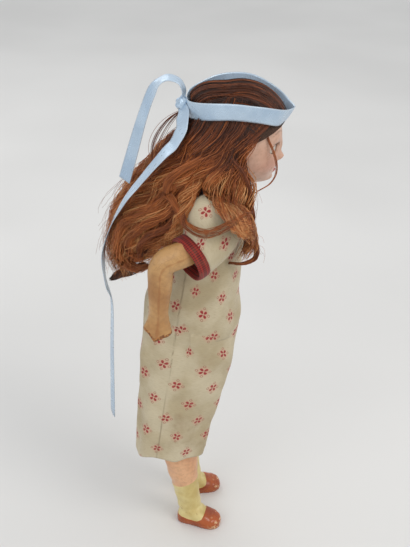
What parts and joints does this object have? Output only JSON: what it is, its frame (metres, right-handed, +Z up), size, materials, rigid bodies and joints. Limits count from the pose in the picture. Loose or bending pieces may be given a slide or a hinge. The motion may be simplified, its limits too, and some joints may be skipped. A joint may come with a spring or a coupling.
{
  "type": "papier-mache doll",
  "caption": "Strung papier-mache doll with turning head, sleeping eyes, jointed arms and legs, long wig with a satin ribbon, and a printed cotton romper.",
  "frame": {"origin": "on the floor under the middle of the doll, between the soles", "axes": "+Z up, the doll faces -Y, its left side is towards +X"},
  "size_m": [0.1074, 0.1083, 0.3219],
  "materials": {
    "skin": "painted and varnished papier-mache, worn",
    "board": "bare pasteboard",
    "elastic": "covered elastic",
    "steel": "dull wire",
    "lead": "dull cast weight",
    "bung": "turned, unvarnished",
    "eye": "polished",
    "calico": "printed cotton",
    "gingham": "checked cotton binding",
    "button": "glazed",
    "net": "open weave",
    "hair": "long wavy fibre",
    "satin": "satin"
  },
  "bodies": {
    "torso": {"torso_shell": "skin", "arm_elastic": "elastic", "leg_elastic": "elastic", "neck_elastic": "elastic", "neck_hook": "steel", "romper_bodice": "calico", "neck_binding": "gingham", "back_button_1": "button", "back_button_2": "button", "back_button_3": "button"},
    "head": {"head_shell": "skin", "crown_pate": "board", "neck_bung": "bung", "neck_washer": "steel", "wig_cap": "net", "hair_crown": "hair", "hair_fall_back": "hair", "hair_fall_right": "hair", "hair_fall_left": "hair", "ribbon_band": "satin", "ribbon_knot": "satin", "ribbon_tail_short": "satin", "ribbon_tail_long": "satin"},
    "eyes": {"right_eye": "eye", "left_eye": "eye", "eye_rocker": "steel", "eye_weight": "lead"},
    "right_arm_body": {"right_arm": "skin", "right_arm_washer": "steel", "right_sleeve": "calico", "right_sleeve_binding": "gingham"},
    "left_arm_body": {"left_arm": "skin", "left_arm_washer": "steel", "left_sleeve": "calico", "left_sleeve_binding": "gingham"},
    "right_leg_body": {"right_leg": "skin", "right_leg_washer": "steel", "romper_right_leg": "calico"},
    "left_leg_body": {"left_leg": "skin", "left_leg_washer": "steel", "romper_left_leg": "calico"}
  },
  "joints": [
    {"name": "head_turn", "type": "hinge", "parent": "torso", "child": "head", "pos_m": [0, -0.01377, 0.2546], "axis": [0, -0.1305, 0.9914], "range_deg": [-60, 60], "deforming": ["hair_fall_back", "hair_fall_right", "hair_fall_left", "ribbon_tail_short", "ribbon_tail_long"]},
    {"name": "eye_sleep", "type": "hinge", "parent": "head", "child": "eyes", "pos_m": [0, -0.0388, 0.28529], "axis": [1, 0, 0], "range_deg": [0, 60]},
    {"name": "right_shoulder", "type": "hinge", "parent": "torso", "child": "right_arm_body", "pos_m": [-0.0311, -0.01571, 0.24325], "axis": [-1, 0, 0], "range_deg": [-14, 162]},
    {"name": "left_shoulder", "type": "hinge", "parent": "torso", "child": "left_arm_body", "pos_m": [0.0311, -0.01571, 0.24325], "axis": [-1, 0, 0], "range_deg": [-53, 124]},
    {"name": "right_hip", "type": "hinge", "parent": "torso", "child": "right_leg_body", "pos_m": [-0.0173, 0, 0.15], "axis": [-1, 0, 0], "range_deg": [-15, 80], "deforming": ["romper_right_leg"]},
    {"name": "left_hip", "type": "hinge", "parent": "torso", "child": "left_leg_body", "pos_m": [0.0173, 0, 0.15], "axis": [-1, 0, 0], "range_deg": [-15, 80], "deforming": ["romper_left_leg"]}
  ]
}
